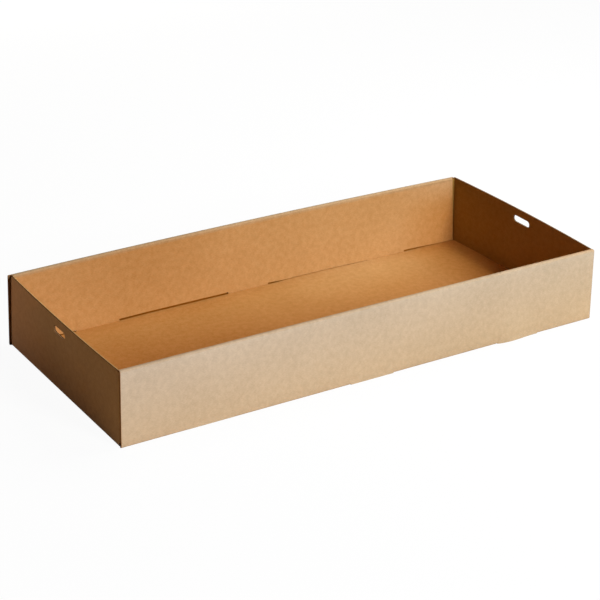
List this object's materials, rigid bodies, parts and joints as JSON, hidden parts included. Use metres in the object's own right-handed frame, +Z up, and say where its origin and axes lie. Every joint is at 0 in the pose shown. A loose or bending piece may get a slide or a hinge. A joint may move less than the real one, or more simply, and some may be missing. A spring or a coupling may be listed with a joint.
{
  "type": "cardboard tray box",
  "caption": "Long shallow open tray folded from kraft board, with rolled long walls locked by tabs in floor slots and a slotted hand hole in each end wall.",
  "frame": {"origin": "middle of the floor's underside, on the surface that the tray stands on", "axes": "+X along the length, +Y across the width towards the back wall, +Z up"},
  "size_m": [0.558, 0.252, 0.08],
  "materials": {
    "kraft_board": "matte natural kraft liner with a fine fibre mottle"
  },
  "bodies": {
    "root": {"tray": "kraft_board"}
  },
  "joints": []
}
